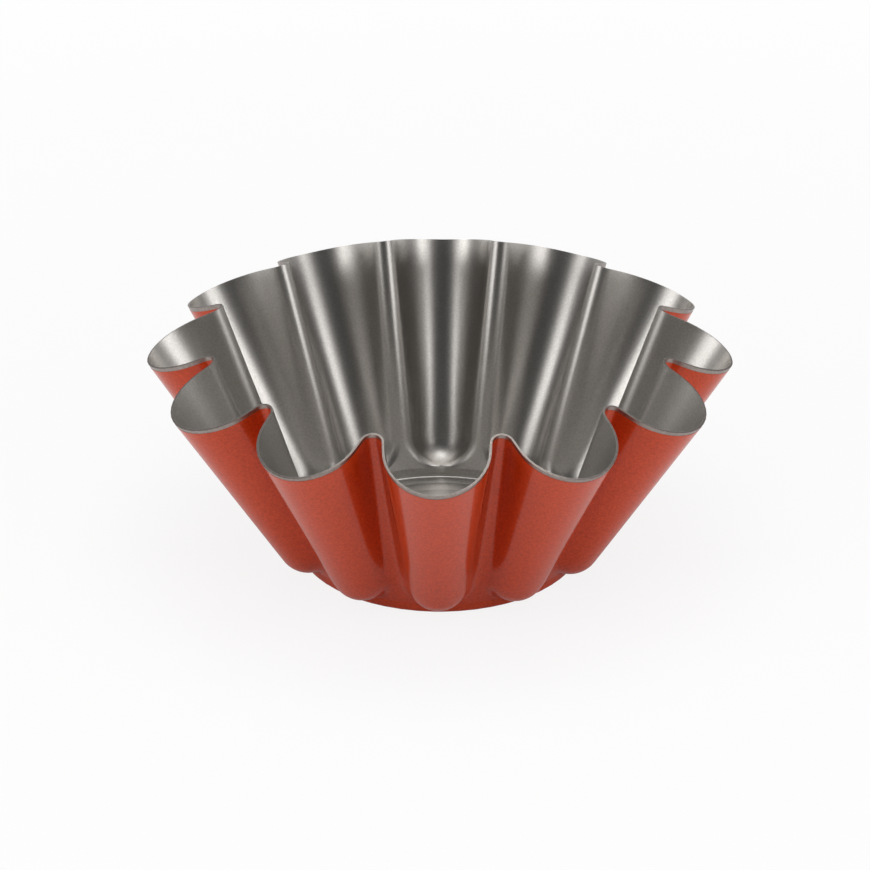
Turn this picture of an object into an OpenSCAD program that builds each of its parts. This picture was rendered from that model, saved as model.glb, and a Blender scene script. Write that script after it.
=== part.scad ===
// Fluted pudding mould: one pressed steel sheet with a grey non-stick lining inside
// and red lacquer outside.
// Millimetres, +Z up. The origin is the middle of the flat foot, on the table.

/* [Rim] */
// Diameter across the tips of the flutes at the rim
rim_d = 220; // [200:1:250]
// Height of the rim above the table at the tip of a flute
rim_tip_h = 78.4; // [66:0.2:96]
// How much higher the rim stands on the ridges than at the flute tips
rim_rise = 11.2; // [2:0.1:16]
// Shape of the rise from tip to ridge: 1 is a straight slope, less is a fuller one
rim_rise_power = 0.91; // [0.7:0.01:1.2]

/* [Flutes] */
// Number of flutes round the mould
flute_count = 12; // [10:1:14]
// Depth of a flute at the rim, from its tip to the ridge
flute_depth = 23.4; // [18:0.1:30]
// Outside radius of the fold at the top of a ridge
ridge_fold_top_r = 3.8; // [2:0.1:8]
// Outside radius of the same fold where the round ends of the flutes begin
ridge_fold_foot_r = 5; // [3:0.1:11]
// Length of the straight flank between a flute and its fold, at the rim
flute_flank_top = 4; // [0:0.5:8]
// Length of the same flank where the round ends of the flutes begin
flute_flank_foot = 3.5; // [0:0.5:8]
// Outside radius of the lip under a flute end, where that fold runs out
flute_lip_r = 2.5; // [1:0.1:4]
// Radius of the round end of each flute
flute_end_r = 11.8; // [9:0.1:13]
// Height of the flute ends above the table
flute_end_h = 4.2; // [3:0.1:9]

/* [Foot and floor] */
// Diameter of the foot that the mould stands on
foot_d = 109.2; // [104:0.2:120]
// How far the flute ends are centred outside the foot
flute_end_out = 2.2; // [0.5:0.1:4]
// How far the wall between the flute ends leans out, from the foot up to where the ridges begin
foot_wall_out = 4; // [1:0.1:6]
// Outside corner radius of the foot
foot_corner_r = 1.8; // [1:0.1:2]
// Diameter of the outer raised step in the floor
step_1_d = 93.4; // [84:0.2:97]
// Diameter of the inner raised step in the floor
step_2_d = 79.4; // [30:0.2:80]
// Height that each step rises
step_h = 0.6; // [0.3:0.1:1.5]
// Width of the slope of each step
step_slope_w = 1.2; // [0.5:0.1:2]

/* [Sheet and coats] */
// Thickness of the steel sheet
steel_t = 0.7; // [0.4:0.05:1]
// Thickness of the non-stick lining
lining_t = 0.08; // [0.05:0.01:0.2]
// Thickness of the red lacquer
lacquer_t = 0.08; // [0.05:0.01:0.2]
// Width of the bare band under the rim, where the lacquer stops
bare_band_w = 2; // [1:0.1:8]

/* [Smoothness] */
// Steps in the outline from a flute's tip to the next ridge
outline_steps = 7; // [5:1:9]
// Steps round the end of a flute, from its lowest point to its side
end_steps = 4; // [3:1:5]

/* [Hidden] */

pitch = 360 / flute_count;
rim_r = rim_d / 2;
rim_ridge_r = rim_r - flute_depth;
rim_ridge_h = rim_tip_h + rim_rise;
foot_r = foot_d / 2;

// The outer face of the steel is the reference face. Everything below gives that face, and the
// coats and the inner face of the steel lie at set distances from it.
foot_z = lacquer_t;
end_centre_r = foot_r + flute_end_out;
end_centre_z = flute_end_h + flute_end_r;

// The line down a flute's tip starts at the rim and is tangent to the round end
tip_dr = rim_r - end_centre_r;
tip_dz = rim_tip_h - end_centre_z;
tip_lean = atan2(tip_dr, tip_dz) - asin(flute_end_r / norm([tip_dr, tip_dz]));
tip_tangent_z = end_centre_z - flute_end_r * sin(tip_lean);
function ball_r(z) = sqrt(pow(flute_end_r, 2) - pow(end_centre_z - z, 2));
function tip_r(z) =
    z > tip_tangent_z ? rim_r - (rim_tip_h - z) * tan(tip_lean) : end_centre_r + ball_r(z);

// The walls are straight from the rim down to this many degrees below the middle of the round end.
// From there the wall between the flute ends, which leans more, goes on down to the foot.
wall_taper = 7.2;
wall_foot_z = end_centre_z - flute_end_r * sin(wall_taper);
foot_lip_out = 0.4;
foot_top_r = foot_r + foot_lip_out;
function foot_wall_r(z) =
    foot_top_r + foot_wall_out * (z - flute_end_h) / (wall_foot_z - flute_end_h);

// An outline is [flute centre, flute radius, ridge radius, fold radius, flank length]. Seen from
// above, a flute is an arc about a point on its own axis, and the fold beside it is an arc that
// curves the other way, with a straight flank between the two. Where the folds stand apart, the
// ridge between them is an arc about the mould's middle.
// Radius of the flute arc that reaches out to tip, when the fold beside it lies on the ridge
function tangent_flute_r(tip, ridge, fold, flank) =
    let (far = ridge + fold, along = far * cos(pitch / 2))
    (far * far + tip * tip - 2 * tip * along - fold * fold - flank * flank)
        / (2 * (tip + fold - along));
function straight_outline(tip, ridge, fold, flank) =
    let (r = tangent_flute_r(tip, ridge, fold, flank)) [tip - r, r, ridge, fold, flank];

// Angle round the mould from the flute's axis to the centre of its fold
function fold_angle(o) =
    let (far = o[2] + o[3], reach = norm([o[1] + o[3], o[4]]))
    min(pitch / 2, acos(min(1, (far * far + o[0] * o[0] - reach * reach) / (2 * far * o[0]))));

// The point at the share u of the way from the flute's tip (0) to the ridge (1). Points are spread
// by the turn of each arc and by its length, so that small folds get enough of them.
turn_per_step = 22;
length_per_step = 12;
function arc_weight(r, turn) = turn / turn_per_step + r * turn * PI / 180 / length_per_step;
function outline_point(o, u) =
    let (
        b = fold_angle(o),
        fold_centre = (o[2] + o[3]) * [cos(b), sin(b)],
        a = atan2(fold_centre.y, fold_centre.x - o[0]) - atan2(o[4], o[1] + o[3]),
        flute_end = arc_weight(o[1], a),
        flank_end = flute_end + o[4] / length_per_step,
        fold_end = flank_end + arc_weight(o[3], a - b),
        ridge_w = o[2] * (pitch / 2 - b) * PI / 180 / length_per_step,
        s = u * (fold_end + ridge_w)
    )
    s <= flute_end ? [o[0], 0] + o[1] * [cos(a * s / flute_end), sin(a * s / flute_end)]
    : s <= flank_end
        ? [o[0], 0] + o[1] * [cos(a), sin(a)] + (s - flute_end) * length_per_step * [-sin(a), cos(a)]
    : s <= fold_end
        ? let (t = a - (a - b) * (s - flank_end) / (fold_end - flank_end)) fold_centre - o[3] * [cos(t), sin(t)]
        : let (t = b + (pitch / 2 - b) * (s - fold_end) / ridge_w) o[2] * [cos(t), sin(t)];

// One turn of the mould: each flute is its outline and the mirror image of it
function turned(p, angle) =
    [p.x * cos(angle) - p.y * sin(angle), p.x * sin(angle) + p.y * cos(angle)];
function full_outline(o) = [
    for (k = [0 : flute_count - 1], j = [0 : 2 * outline_steps - 1])
        let (p = outline_point(o, (j <= outline_steps ? j : 2 * outline_steps - j) / outline_steps))
        j <= outline_steps ? turned(p, k * pitch) : turned([p.x, -p.y], (k + 1) * pitch)
];

// The height of a ring follows its distance from the middle, as the edge of a round blank does
function ring(o, tip_z, ridge_z) = [
    for (p = full_outline(o))
        let (share = max(0, (o[0] + o[1] - norm(p)) / (o[0] + o[1] - o[2])))
        [p.x, p.y, tip_z + (ridge_z - tip_z) * pow(share, rim_rise_power)]
];
function round_ring(shape, r, z) =
    [for (p = shape) [r * p.x, r * p.y, 0] / norm([p.x, p.y]) + [0, 0, z]];

wall_foot = straight_outline(
    tip_r(wall_foot_z), foot_wall_r(wall_foot_z), ridge_fold_foot_r, flute_flank_foot
);
rim_outline = straight_outline(rim_r, rim_ridge_r, ridge_fold_top_r, flute_flank_top);
rim_ring = ring(rim_outline, rim_tip_h, rim_ridge_h);
wall_foot_ring = ring(wall_foot, wall_foot_z, wall_foot_z);
band_ring = [
    for (i = [0 : len(rim_ring) - 1])
        let (down = wall_foot_ring[i] - rim_ring[i]) rim_ring[i] + down * bare_band_w / norm(down)
];

// The round end of a flute narrows as a ball does. The flank beside it runs out quickly, and the
// fold tightens to the lip.
function end_outline(z) =
    let (
        share = ball_r(z) / ball_r(wall_foot_z),
        r = wall_foot[1] * share,
        fold = flute_lip_r + (ridge_fold_foot_r - flute_lip_r) * share * share
    )
    [tip_r(z) - r, r, foot_wall_r(z), fold, flute_flank_foot * pow(share, 4)];
end_rings = [
    for (i = [1 : end_steps - 1])
        let (z = end_centre_z - flute_end_r * cos((90 - wall_taper) * i / end_steps))
        ring(end_outline(z), z, z)
];

// The floor pressing joins the fluted wall on a level plane, a little under the flute ends
joint_drop = 0.5;
joint_z = flute_end_h - joint_drop;
joint_ring = round_ring(end_rings[0], foot_r, joint_z);
foot_top_ring = round_ring(end_rings[0], foot_top_r, flute_end_h);
wall_rings = concat([joint_ring, foot_top_ring], end_rings, [wall_foot_ring, band_ring, rim_ring]);
last_ring = len(wall_rings) - 1;
band_index = last_ring - 1;
ring_points = len(rim_ring);

// Unit normals of the reference face, pointing to the inside of the mould
function unit(v) = v / norm(v);
function inward(i, j) =
    let (
        round_way = wall_rings[i][(j + 1) % ring_points]
            - wall_rings[i][(j + ring_points - 1) % ring_points],
        up_way = wall_rings[min(last_ring, i + 1)][j]
            - wall_rings[i >= band_index ? band_index - 1 : i - 1][j]
    )
    unit(cross(up_way, round_way));
wall_normals = [
    for (i = [0 : last_ring])
        [for (j = [0 : ring_points - 1]) i == 0 ? -unit([joint_ring[j].x, joint_ring[j].y, 0]) : inward(i, j)]
];

// The wall sheet between two distances from the reference face. Each of its skins runs over the
// rings that its list names. At the joint the sheet is a hair thinner than the floor pressing, so
// that its facets stay inside the round foot.
joint_seam = 0.012;
joint_bow = foot_r * (1 - cos(180 / ring_points));
function skin_points(rows, d, seam) = [
    for (i = rows, j = [0 : ring_points - 1])
        wall_rings[i][j] + wall_normals[i][j] * (i == 0 ? d + seam : d)
];
function skin_faces(rows, first) = [
    for (i = [0 : len(rows) - 2], j = [0 : ring_points - 1])
        let (a = first + i * ring_points + j, b = first + i * ring_points + (j + 1) % ring_points)
        each [[a, b + ring_points, b], [a, a + ring_points, b + ring_points]]
];
function edge_faces(below, above) = [
    for (j = [0 : ring_points - 1])
        let (k = (j + 1) % ring_points)
        each [[below + j, above + k, below + k], [below + j, above + j, above + k]]
];
module wall_sheet(from, to, outer_rows, inner_rows) {
    outer = skin_points(outer_rows, from, joint_seam);
    inner = skin_points(inner_rows, to, -joint_seam - joint_bow);
    outer_top = len(outer) - ring_points;
    inner_top = len(outer) + len(inner) - ring_points;
    polyhedron(
        concat(outer, inner),
        concat(
            skin_faces(outer_rows, 0),
            [for (f = skin_faces(inner_rows, len(outer))) [f[0], f[2], f[1]]],
            edge_faces(outer_top, inner_top),
            edge_faces(len(outer), 0)
        )
    );
}

// The floor pressing, as a bent line from the middle of the floor out to the joint
corner_steps = 8;
floor_line = concat(
    [
        [0, foot_z + 2 * step_h],
        [step_2_d / 2, foot_z + 2 * step_h],
        [step_2_d / 2 + step_slope_w, foot_z + step_h],
        [step_1_d / 2, foot_z + step_h],
        [step_1_d / 2 + step_slope_w, foot_z]
    ],
    [
        for (i = [0 : corner_steps])
            let (a = 90 * i / corner_steps)
            [foot_r - foot_corner_r + foot_corner_r * sin(a), foot_z + foot_corner_r * (1 - cos(a))]
    ],
    [[foot_r, joint_z]]
);
function line_normal(p, q) = unit([p.y - q.y, q.x - p.x]);
function line_shift(line, d) = [
    for (i = [0 : len(line) - 1])
        let (
            before = line_normal(line[max(0, i - 1)], line[max(1, i)]),
            after = line_normal(line[min(len(line) - 2, i)], line[min(len(line) - 1, i + 1)])
        )
        line[i] + (before + after) * d / (1 + before * after)
];
function backwards(line) = [for (i = [len(line) - 1 : -1 : 0]) line[i]];
floor_facets = 180;
module floor_sheet(from, to) {
    rotate_extrude($fn = floor_facets)
        polygon(concat(line_shift(floor_line, from), backwards(line_shift(floor_line, to))));
}

// Only the outside needs a ring where the bare band begins
outside_rows = [for (i = [0 : last_ring]) i];
lacquer_rows = [for (i = [0 : band_index]) i];
inside_rows = [for (i = outside_rows) if (i != band_index) i];

// The pressed sheet, bare at its trimmed edge and down to the lacquer
module steel_shell() {
    color("silver") {
        floor_sheet(0, steel_t);
        wall_sheet(0, steel_t, outside_rows, inside_rows);
    }
}

// The non-stick coat over the whole inside
module nonstick_lining() {
    color("dimgray") {
        floor_sheet(steel_t, steel_t + lining_t);
        wall_sheet(steel_t, steel_t + lining_t, inside_rows, inside_rows);
    }
}

// The lacquer over the outside, from the bare band down and under the foot
module red_lacquer() {
    color("firebrick") {
        floor_sheet(-lacquer_t, 0);
        wall_sheet(-lacquer_t, 0, lacquer_rows, lacquer_rows);
    }
}

steel_shell();
nonstick_lining();
red_lacquer();
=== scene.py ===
import bpy
import numpy as np
from mathutils import Matrix


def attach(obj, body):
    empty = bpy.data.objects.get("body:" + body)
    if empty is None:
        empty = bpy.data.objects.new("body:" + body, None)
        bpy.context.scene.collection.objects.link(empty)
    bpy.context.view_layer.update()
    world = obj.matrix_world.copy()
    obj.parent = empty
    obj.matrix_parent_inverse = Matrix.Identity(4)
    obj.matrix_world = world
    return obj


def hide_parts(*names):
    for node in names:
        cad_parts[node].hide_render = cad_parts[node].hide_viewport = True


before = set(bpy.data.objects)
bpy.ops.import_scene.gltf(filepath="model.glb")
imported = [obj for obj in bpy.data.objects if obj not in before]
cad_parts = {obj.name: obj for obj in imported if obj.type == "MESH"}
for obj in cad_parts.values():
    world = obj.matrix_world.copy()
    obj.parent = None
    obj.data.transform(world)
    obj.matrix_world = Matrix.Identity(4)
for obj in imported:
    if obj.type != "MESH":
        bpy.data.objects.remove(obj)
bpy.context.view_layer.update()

# The steel sheet
# One 0.7 mm sheet is drawn in a press into twelve flutes, a short foot and a stepped floor, and then
# trimmed along a wavy rim. The coats cover all of it but the cut edge and a narrow band outside.

flutes = 12
half_pitch = np.pi / flutes
rim_r = 0.110
rim_tip_h = 0.0784
rim_rise = 0.0112
rim_rise_power = 0.91
rim_ridge_r = rim_r - 0.0234
fold_top_r = 0.0038
fold_foot_r = 0.005
flank_top = 0.004
flank_foot = 0.0035
flank_end_share = 0.05
lip_r = 0.0025
lip_low_z = 0.0019
lip_bend_z = 0.0040
foot_r = 0.0546
foot_top_r = foot_r + 0.0004
foot_corner_r = 0.0018
end_r = 0.0118
end_h = 0.0042
end_centre_r = foot_r + 0.0022
end_centre_z = end_h + end_r
wall_taper = np.radians(7.2)
wall_foot_z = end_centre_z - end_r * np.sin(wall_taper)
wall_foot_out = 0.004
step_1_r = 0.0467
step_2_r = 0.0397
step_h = 0.0006
step_slope = 0.0012
steel_t = 0.0007
coat_t = 0.00008

# Columns of the grid: on half a flute's arc, on its flank, and on the fold and half the ridge. Between
# these two the columns are shared out by turn in radians plus length in metres times its weight.
arc_columns = 10
flank_columns = 2
fold_columns = 9
length_weight = 30

# Rows of the grid as shares of the way: up the wall, closer near the foot and near the rim, round the
# flutes' ends from just beside their lowest point, and up the lip. The floor has rings at set radii.
wall_rows = np.interp(np.arange(38), (0, 10, 23, 37), (0, 0.12, 0.88, 1))
end_rows = 0.02 + 0.98 * (np.arange(18) / 18) ** 1.2
lip_rows = np.arange(1, 9) / 9
corner_rows = np.linspace(0, 1, 7)
slope_rows = np.linspace(0, 1, 5)
floor_rings = (0.001, 0.012, 0.024, 0.034)


def ball_r(z):
    """Radius at height z of the ball that a flute ends in, zero below it."""
    return np.sqrt(np.maximum(0, end_r**2 - (end_centre_z - z) ** 2))


def tip_line(z):
    """Distance of a flute's tip line from the axis: a straight line tangent to the ball below."""
    out, up = rim_r - end_centre_r, rim_tip_h - end_centre_z
    lean = np.arctan2(out, up) - np.arcsin(end_r / np.hypot(out, up))
    straight = rim_r - (rim_tip_h - z) * np.tan(lean)
    return np.where(z > end_centre_z - end_r * np.sin(lean), straight, end_centre_r + ball_r(z))


def ridge_line(z):
    """Distance of the wall between two flute ends from the axis, straight from the foot upwards."""
    return foot_top_r + wall_foot_out * (z - end_h) / (wall_foot_z - end_h)


def flute_arc_r(tip, ridge, fold, flank):
    """Radius of the arc that reaches the tip and runs by a straight flank into a fold on the ridge.

    It solves the triangle of the mould's axis, the flute's axis and the fold's centre, in which the
    side from the flute's axis to the fold's centre has arc plus fold and the flank as its two legs.
    """
    far = ridge + fold
    along = far * np.cos(half_pitch)
    return (far**2 + tip**2 - 2 * tip * along - fold**2 - flank**2) / (2 * (tip + fold - along))


def flute_outline(tip, arc, ridge, fold, flank):
    """Level outline of the whole wall, rows by columns by 2. The inputs are one value a row.

    From a flute's tip the line follows an arc about the flute's axis, a straight flank, a fold that
    curves the other way and an arc about the mould's axis. Its mirror image makes the flute whole, and
    the flute is turned about the mould's axis to make the others. Points are complex numbers x + iy.
    """
    tip, arc, ridge, fold, flank = (np.atleast_1d(v)[:, None] for v in (tip, arc, ridge, fold, flank))
    centre, far = tip - arc, ridge + fold
    reach = np.hypot(arc + fold, flank)
    fold_way = np.arccos(np.minimum(1, (far**2 + centre**2 - reach**2) / (2 * far * centre)))
    fold_way = np.minimum(half_pitch, fold_way)
    fold_centre = far * np.exp(1j * fold_way)
    arc_end = np.angle(fold_centre - centre) - np.arctan2(flank, arc + fold)
    on_arc = centre + arc * np.exp(1j * arc_end * np.arange(arc_columns) / arc_columns)
    along_flank = flank * np.arange(flank_columns) / flank_columns
    on_flank = centre + np.exp(1j * arc_end) * (arc + 1j * along_flank)
    fold_weight = (arc_end - fold_way) * (1 + length_weight * fold)
    ridge_weight = length_weight * ridge * (half_pitch - fold_way)
    gone = (fold_weight + ridge_weight) * np.linspace(0, 1, fold_columns + 1)
    fold_turn = arc_end - (arc_end - fold_way) * np.minimum(1, gone / fold_weight)
    on_fold = fold_centre - fold * np.exp(1j * fold_turn)
    # A row may have no ridge left, and the smallest number keeps its share from being 0 / 0.
    past_fold = np.maximum(0, gone - fold_weight) / np.maximum(ridge_weight, 1e-12)
    on_ridge = ridge * np.exp(1j * (fold_way + (half_pitch - fold_way) * past_fold))
    half = np.hstack([on_arc, on_flank, np.where(gone < fold_weight, on_fold, on_ridge)])
    one = np.hstack([half, np.conj(half[:, -2:0:-1]) * np.exp(2j * half_pitch)])
    turns = np.exp(2j * half_pitch * np.arange(flutes))
    whole = (turns[None, :, None] * one[:, None, :]).reshape(len(half), -1)
    return np.stack([whole.real, whole.imag], axis=-1)


def level_rings(tip, arc, ridge, fold, flank, tip_z, ridge_z):
    """Outlines lifted to height: tip_z at a flute's tip, rising to ridge_z by a power of the way in."""
    flat = flute_outline(tip, arc, ridge, fold, flank)
    tip, ridge, tip_z, ridge_z = (np.atleast_1d(v)[:, None] for v in (tip, ridge, tip_z, ridge_z))
    share = np.maximum(0, (tip - np.linalg.norm(flat, axis=-1)) / (tip - ridge))
    z = tip_z + (ridge_z - tip_z) * share**rim_rise_power
    return np.concatenate([flat, z[..., None]], axis=-1)


def round_rings(way, r, z):
    """Circles about the axis, one row for each radius and height, at the columns' own directions."""
    flat = way * np.reshape(r, (-1, 1, 1))
    z = np.broadcast_to(np.reshape(z, (-1, 1, 1)), (*flat.shape[:2], 1))
    return np.concatenate([flat, z], axis=-1)


def floor_profile():
    """Radii and heights of the floor's rows, from its middle out to the upper end of the foot's corner.

    Each step falls by half a cosine wave, and the corner is a quarter circle.
    """
    fall = (1 + np.cos(np.pi * slope_rows)) / 2
    turn = np.pi / 2 * corner_rows
    step_2 = step_2_r + step_slope * slope_rows
    step_1 = step_1_r + step_slope * slope_rows
    corner = foot_r - foot_corner_r * (1 - np.sin(turn))
    middle_z = np.full(len(floor_rings), coat_t + 2 * step_h)
    step_2_z = coat_t + step_h + step_h * fall
    step_1_z = coat_t + step_h * fall
    corner_z = coat_t + foot_corner_r * (1 - np.cos(turn))
    r = np.concatenate([floor_rings, step_2, step_1, corner])
    return r, np.concatenate([middle_z, step_2_z, step_1_z, corner_z])


def pressed_face():
    """The sheet's outer face as rows by columns by 3, from the middle of the floor up to the rim.

    The wall's lines are straight from its foot to the rim. Below them the rows narrow as the ball of
    a flute's end does. A lip's lines are quadratic curves from the foot to the lowest of these rows.
    """
    rim_arc = flute_arc_r(rim_r, rim_ridge_r, fold_top_r, flank_top)
    rim_ridge_h = rim_tip_h + rim_rise
    rim = level_rings(rim_r, rim_arc, rim_ridge_r, fold_top_r, flank_top, rim_tip_h, rim_ridge_h)
    tip, ridge = tip_line(wall_foot_z), ridge_line(wall_foot_z)
    arc = flute_arc_r(tip, ridge, fold_foot_r, flank_foot)
    wall_foot = level_rings(tip, arc, ridge, fold_foot_r, flank_foot, wall_foot_z, wall_foot_z)
    wall = wall_foot + (rim - wall_foot) * wall_rows[:, None, None]
    z = end_centre_z - end_r * np.cos(end_rows * (np.pi / 2 - wall_taper))
    share = ball_r(z) / ball_r(wall_foot_z)
    fold = lip_r + (fold_foot_r - lip_r) * share**2
    flank = flank_foot * (flank_end_share * share + (1 - flank_end_share) * share**4)
    ends = level_rings(tip_line(z), arc * share, ridge_line(z), fold, flank, z, z)
    way = ends[0, :, :2] / np.linalg.norm(ends[0, :, :2], axis=-1, keepdims=True)
    bend = lip_rows[:, None, None]
    lip_low = round_rings(way, foot_r, lip_low_z)
    lip_bend = round_rings(way, foot_top_r, lip_bend_z)
    lips = lip_low * (1 - bend) ** 2 + 2 * lip_bend * bend * (1 - bend) + ends[0] * bend**2
    return np.concatenate([round_rings(way, *floor_profile()), lips, ends, wall])


def inward(face):
    """Unit normals towards the inside: the cross product of the differences up and round the sheet."""
    round_way = np.roll(face, -1, axis=1) - np.roll(face, 1, axis=1)
    up_way = np.gradient(face, axis=0)
    normal = np.cross(up_way, round_way)
    return normal / np.linalg.norm(normal, axis=-1, keepdims=True)


def sheet_mesh(name, outer, inner, sharp_turn=np.radians(50)):
    """A closed sheet between two faces: both grids, a strip over the rim and a fan over each middle."""
    rows, columns, _ = outer.shape
    middles = [outer[:1].mean(axis=1), inner[:1].mean(axis=1)]
    points = np.concatenate([outer.reshape(-1, 3), inner.reshape(-1, 3), *middles])
    here = np.arange(columns)
    after = (here + 1) % columns
    low = np.arange(rows - 1)[:, None] * columns
    high = low + columns
    quads = np.stack([low + here, low + after, high + after, high + here], axis=-1).reshape(-1, 4)
    count = rows * columns
    rim = count - columns
    edge = np.stack([rim + here, rim + after, count + rim + after, count + rim + here], axis=-1)
    outer_fan = np.stack([np.full(columns, 2 * count), after, here], axis=-1)
    inner_fan = np.stack([np.full(columns, 2 * count + 1), count + here, count + after], axis=-1)
    faces = quads.tolist() + (count + quads[:, ::-1]).tolist() + edge.tolist()
    faces += outer_fan.tolist() + inner_fan.tolist()
    mesh = bpy.data.meshes.new(name)
    mesh.from_pydata(points.tolist(), [], faces)
    mesh.shade_smooth()
    mesh.set_sharp_from_angle(angle=sharp_turn)
    piece = bpy.data.objects.new(name, mesh)
    bpy.context.collection.objects.link(piece)
    return piece


def map_range(tree, source, source_ends, value_ends, curve="LINEAR"):
    """A value that runs between its ends while its source runs between its own, and stays beyond."""
    node = tree.nodes.new("ShaderNodeMapRange")
    node.interpolation_type = curve
    node.inputs["From Min"].default_value, node.inputs["From Max"].default_value = source_ends
    node.inputs["To Min"].default_value, node.inputs["To Max"].default_value = value_ends
    tree.links.new(source, node.inputs["Value"])
    return node.outputs["Result"]


grain_ends = (0.3, 0.7)
fine_grain = bpy.data.node_groups.new("fine grain", "ShaderNodeTree")
fine_grain.interface.new_socket("Scale", in_out="INPUT", socket_type="NodeSocketFloat")
fine_grain.interface.new_socket("Depth", in_out="INPUT", socket_type="NodeSocketFloat")
fine_grain.interface.new_socket("Shade", in_out="OUTPUT", socket_type="NodeSocketFloat")
fine_grain.interface.new_socket("Normal", in_out="OUTPUT", socket_type="NodeSocketVector")
nodes, links = fine_grain.nodes, fine_grain.links
given, result = nodes.new("NodeGroupInput"), nodes.new("NodeGroupOutput")
place = nodes.new("ShaderNodeTexCoord")
noise = nodes.new("ShaderNodeTexNoise")
noise.inputs["Detail"].default_value = 2.5
relief = nodes.new("ShaderNodeBump")
links.new(place.outputs["Object"], noise.inputs["Vector"])
links.new(given.outputs["Scale"], noise.inputs["Scale"])
links.new(noise.outputs["Fac"], relief.inputs["Height"])
links.new(given.outputs["Depth"], relief.inputs["Distance"])
shade = map_range(fine_grain, noise.outputs["Fac"], grain_ends, (0, 1))
links.new(shade, result.inputs["Shade"])
links.new(relief.outputs["Normal"], result.inputs["Normal"])


def grained_look(name, dark, light, grain_scale, grain_depth):
    """A new material and its shader. The fine grain colours it from dark to light and gives it relief."""
    look = bpy.data.materials.new(name)
    look.use_nodes = True
    nodes, links = look.node_tree.nodes, look.node_tree.links
    grain = nodes.new("ShaderNodeGroup")
    grain.node_tree = fine_grain
    grain.inputs["Scale"].default_value = grain_scale
    grain.inputs["Depth"].default_value = grain_depth
    tint = nodes.new("ShaderNodeValToRGB")
    tint.color_ramp.elements[0].color = (*dark, 1)
    tint.color_ramp.elements[1].color = (*light, 1)
    shader = nodes["Principled BSDF"]
    links.new(grain.outputs["Shade"], tint.inputs["Fac"])
    links.new(tint.outputs["Color"], shader.inputs["Base Color"])
    links.new(grain.outputs["Normal"], shader.inputs["Normal"])
    return look, shader


steel_dark = (0.26, 0.225, 0.205)
steel_light = (0.36, 0.315, 0.29)
steel_look, shader = grained_look(
    "bare steel", steel_dark, steel_light, grain_scale=900, grain_depth=0.00001
)
shader.inputs["Metallic"].default_value = 1.0
shader.inputs["Roughness"].default_value = 0.35

face = pressed_face()
into = inward(face)
steel = sheet_mesh("pressed_sheet", face, face + into * steel_t)
steel.data.materials.append(steel_look)
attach(steel, "root")
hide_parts("steel_shell")

# The non-stick lining
# A grey coat sprayed on the inside and baked. It is satin, with a fine grain, and runs up to the
# trimmed edge.

lining_dark = (0.50, 0.48, 0.455)
lining_light = (0.62, 0.595, 0.565)
lining_look, shader = grained_look(
    "grey lining", lining_dark, lining_light, grain_scale=1500, grain_depth=0.00001
)
shader.inputs["Metallic"].default_value = 1.0
shader.inputs["Roughness"].default_value = 0.34

lining = sheet_mesh("grey_lining", face + into * steel_t, face + into * (steel_t + coat_t))
lining.data.materials.append(lining_look)
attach(lining, "root")
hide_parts("nonstick_lining")

# The red lacquer
# A slightly metallic red under a clear coat, sprayed on the outside and baked. It is masked off just
# under the rim, so that a band of bare steel shows there.

bare_band = 0.0016
lacquer_dark = (0.42, 0.039, 0.006)
lacquer_light = (0.58, 0.056, 0.009)
lacquer_look, shader = grained_look(
    "red lacquer", lacquer_dark, lacquer_light, grain_scale=1100, grain_depth=0.000001
)
shader.inputs["Metallic"].default_value = 0.35
shader.inputs["Roughness"].default_value = 0.32
shader.inputs["Specular IOR Level"].default_value = 0.0
shader.inputs["Coat Weight"].default_value = 0.7
shader.inputs["Coat Roughness"].default_value = 0.1
shader.inputs["Coat IOR"].default_value = 1.5

down = face[-2] - face[-1]
down = down / np.linalg.norm(down, axis=-1, keepdims=True)
under_rim = np.linalg.norm(face[-1] - face, axis=-1).min(axis=1)
kept = int(np.sum(under_rim > bare_band))
outside = np.concatenate([face[:kept], (face[-1] + down * bare_band)[None]])
outside_in = np.concatenate([into[:kept], into[-1][None]])
lacquer = sheet_mesh("red_lacquer_coat", outside - outside_in * coat_t, outside)
lacquer.data.materials.append(lacquer_look)
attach(lacquer, "root")
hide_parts("red_lacquer")

# The studio floor
# A plain white table top that goes on out of sight. The camera sees it white and shiny surfaces see it
# brighten away from the foot, and it takes the mould's soft shadow.

floor_half = 6.0
floor_white = (0.8, 0.8, 0.8, 1)
camera_fade_r = (0.15, 0.8)
camera_white = (0.86, 1)
gloss_fade_r = (-0.02, 0.18)
gloss_white = (0, 0.65)
floor_corners = [(-floor_half, -floor_half, 0), (floor_half, -floor_half, 0)]
floor_corners += [(floor_half, floor_half, 0), (-floor_half, floor_half, 0)]
floor_mesh = bpy.data.meshes.new("studio_floor")
floor_mesh.from_pydata(floor_corners, [], [(0, 1, 2, 3)])
floor = bpy.data.objects.new("studio_floor", floor_mesh)
bpy.context.collection.objects.link(floor)

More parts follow.
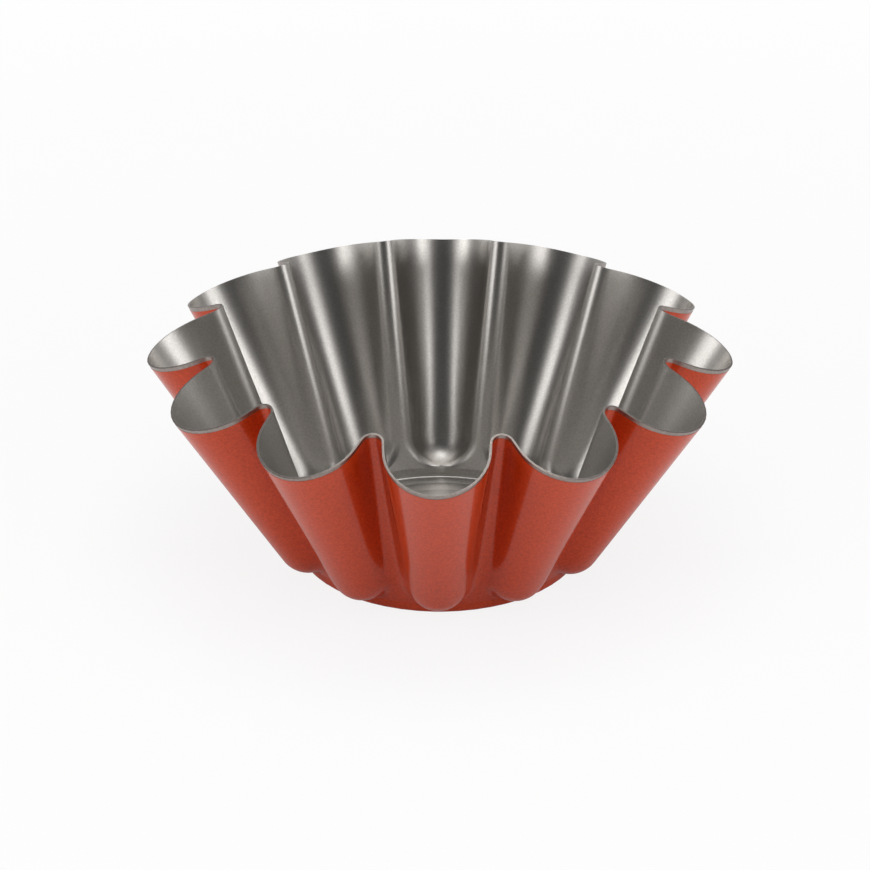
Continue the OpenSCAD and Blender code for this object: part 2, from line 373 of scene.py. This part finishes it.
floor_look = bpy.data.materials.new("white floor")
floor_look.use_nodes = True
tree = floor_look.node_tree
nodes, links = tree.nodes, tree.links
shader = nodes["Principled BSDF"]
shader.inputs["Base Color"].default_value = floor_white
shader.inputs["Roughness"].default_value = 0.9
shader.inputs["Specular IOR Level"].default_value = 0.0
path = nodes.new("ShaderNodeLightPath")
place = nodes.new("ShaderNodeTexCoord")
out = nodes.new("ShaderNodeVectorMath")
out.operation = "LENGTH"
links.new(place.outputs["Object"], out.inputs[0])
seen = nodes.new("ShaderNodeMath")
seen.operation = "MULTIPLY"
links.new(path.outputs["Is Camera Ray"], seen.inputs[0])
seen_white = map_range(tree, out.outputs["Value"], camera_fade_r, camera_white, "SMOOTHSTEP")
links.new(seen_white, seen.inputs[1])
mirrored = nodes.new("ShaderNodeMath")
mirrored.operation = "MULTIPLY_ADD"
links.new(path.outputs["Is Glossy Ray"], mirrored.inputs[0])
mirrored_white = map_range(tree, out.outputs["Value"], gloss_fade_r, gloss_white, "SMOOTHSTEP")
links.new(mirrored_white, mirrored.inputs[1])
links.new(seen.outputs[0], mirrored.inputs[2])
white = nodes.new("ShaderNodeEmission")
blend = nodes.new("ShaderNodeMixShader")
links.new(mirrored.outputs[0], blend.inputs[0])
links.new(shader.outputs[0], blend.inputs[1])
links.new(white.outputs[0], blend.inputs[2])
links.new(blend.outputs[0], nodes["Material Output"].inputs["Surface"])
floor.data.materials.append(floor_look)

# The studio light
# Two soft boxes left and right of the camera, each over a dimmer strip, and one overhead. Three fills
# that don't show in the gloss lift the shadows. The room is white to the camera, and in the gloss it is
# grey, with a dark patch behind the camera.

lamps_aim = np.array([0.0, 0.0, 0.05])
sky_ends = (0, 1)
sky_strength = (0.05, 0.3)
dark_way = (0.0, -0.82, 0.57)
dark_ends = (0.5, 0.95)
dark_strength = (0.4, 0.06)


def facing(right, up, back, place):
    """The transform that puts an object at a place, with its own axes along right, up and back."""
    return Matrix([[right[i], up[i], back[i], place[i]] for i in range(3)] + [[0, 0, 0, 1]])


def soft_box(name, azimuth, elevation, away, width, height, radiance, in_gloss):
    """An area lamp turned to the mould, of one radiance over its whole face.

    It stands at a distance from the origin, in degrees from +X and above the table. A face that sends
    its light out evenly in all directions has a power of pi times its radiance and its area.
    """
    a, e = np.radians(azimuth), np.radians(elevation)
    place = away * np.array([np.cos(a) * np.cos(e), np.sin(a) * np.cos(e), np.sin(e)])
    back = (place - lamps_aim) / np.linalg.norm(place - lamps_aim)
    right = np.cross([0.0, 0.0, 1.0], back)
    right = right / np.linalg.norm(right)
    lamp = bpy.data.lights.new(name, "AREA")
    lamp.shape = "RECTANGLE"
    lamp.size = width
    lamp.size_y = height
    lamp.energy = radiance * np.pi * width * height
    box = bpy.data.objects.new(name, lamp)
    box.visible_camera = False
    box.visible_glossy = in_gloss
    box.matrix_world = facing(right, np.cross(back, right), back, place)
    bpy.context.collection.objects.link(box)


# Degrees round from +X and up from the table, distance, width, height, radiance, seen in the gloss.
soft_box("box_left", -153, 26, 1.5, 1.0, 0.5, 2.55, True)
soft_box("box_left_low", -155, 12, 1.5, 1.0, 0.22, 1.0, True)
soft_box("box_right", -29, 26, 1.5, 0.95, 0.5, 2.55, True)
soft_box("box_right_low", -27, 12, 1.5, 0.95, 0.22, 1.0, True)
soft_box("box_over", 75, 78, 1.6, 1.0, 1.0, 1.5, True)
soft_box("fill_left", -150, 10, 1.6, 1.2, 0.6, 2.0, False)
soft_box("fill_right", -30, 10, 1.6, 1.2, 0.6, 2.0, False)
soft_box("fill_over", -90, 80, 1.6, 1.6, 1.6, 2.0, False)

world = bpy.data.worlds.new("studio")
world.use_nodes = True
bpy.context.scene.world = world
tree = world.node_tree
nodes, links = tree.nodes, tree.links
path = nodes.new("ShaderNodeLightPath")
way = nodes.new("ShaderNodeTexCoord")
to_dark = nodes.new("ShaderNodeVectorMath")
to_dark.operation = "DOT_PRODUCT"
to_dark.inputs[1].default_value = dark_way
links.new(way.outputs["Generated"], to_dark.inputs[0])
to_sky = nodes.new("ShaderNodeVectorMath")
to_sky.operation = "DOT_PRODUCT"
to_sky.inputs[1].default_value = (0.0, 0.0, 1.0)
links.new(way.outputs["Generated"], to_sky.inputs[0])
room = nodes.new("ShaderNodeMix")
links.new(path.outputs["Is Glossy Ray"], room.inputs["Factor"])
links.new(map_range(tree, to_sky.outputs["Value"], sky_ends, sky_strength), room.inputs["A"])
glossy_room = map_range(tree, to_dark.outputs["Value"], dark_ends, dark_strength, "SMOOTHSTEP")
links.new(glossy_room, room.inputs["B"])
seen = nodes.new("ShaderNodeMix")
seen.inputs["B"].default_value = 1.0
links.new(path.outputs["Is Camera Ray"], seen.inputs["Factor"])
links.new(room.outputs["Result"], seen.inputs["A"])
links.new(seen.outputs["Result"], nodes["Background"].inputs["Strength"])
nodes["Background"].inputs["Color"].default_value = (1, 1, 1, 1)

# The camera
# A long lens, 27 degrees above the table and 1.47 m away, as the photograph was taken. Its angles are
# in radians: tilt down, turn to the side and roll about its own axis.

tilt = 0.4734
turn = 0.0128
roll = -0.0014
distance = 1.473823
aim_aside = -0.0018235
aim_z = 0.0467487
focal_px = 3883.562
frame_px = 870
sensor_mm = 36

aim = np.array([aim_aside * np.cos(turn), aim_aside * np.sin(turn), aim_z])
back = np.array([np.sin(turn) * np.cos(tilt), -np.cos(turn) * np.cos(tilt), np.sin(tilt)])
right = np.array([np.cos(turn), np.sin(turn), 0.0])
up = np.cross(back, right)
rolled_right = right * np.cos(roll) + up * np.sin(roll)
rolled_up = up * np.cos(roll) - right * np.sin(roll)
camera_data = bpy.data.cameras.new("camera")
camera_data.sensor_width = sensor_mm
camera_data.lens = focal_px * sensor_mm / frame_px
camera_data.clip_end = 50
camera = bpy.data.objects.new("camera", camera_data)
camera.matrix_world = facing(rolled_right, rolled_up, back, aim + back * distance)
bpy.context.collection.objects.link(camera)
bpy.context.scene.camera = camera
bpy.context.scene.view_settings.view_transform = "Standard"
